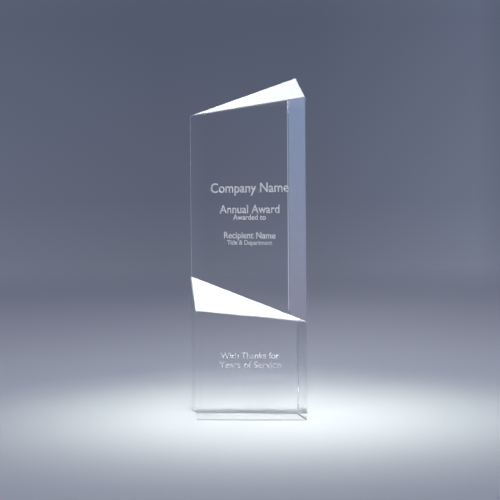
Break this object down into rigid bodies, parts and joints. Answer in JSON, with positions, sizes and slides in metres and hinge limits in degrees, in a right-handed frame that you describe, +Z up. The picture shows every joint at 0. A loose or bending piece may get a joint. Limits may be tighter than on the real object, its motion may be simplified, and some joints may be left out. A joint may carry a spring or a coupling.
{
  "type": "crystal award",
  "caption": "Two-tier clear crystal award: a tall and a short three-sided prism with sloping tops, bonded along a diagonal upright joint.",
  "frame": {"origin": "on the underside, at the centre of the four-cornered footprint", "axes": "+Z up, +X to the right along the front face, +Y to the rear"},
  "size_m": [0.0828, 0.0414, 0.2354],
  "materials": {
    "crystal": "clear, ground flat and polished",
    "bond": "clear cured adhesive film",
    "etching": "frosted, sandblasted lettering"
  },
  "bodies": {
    "root": {"tall_prism": "crystal", "short_prism": "crystal", "bond_film": "bond"}
  },
  "joints": []
}
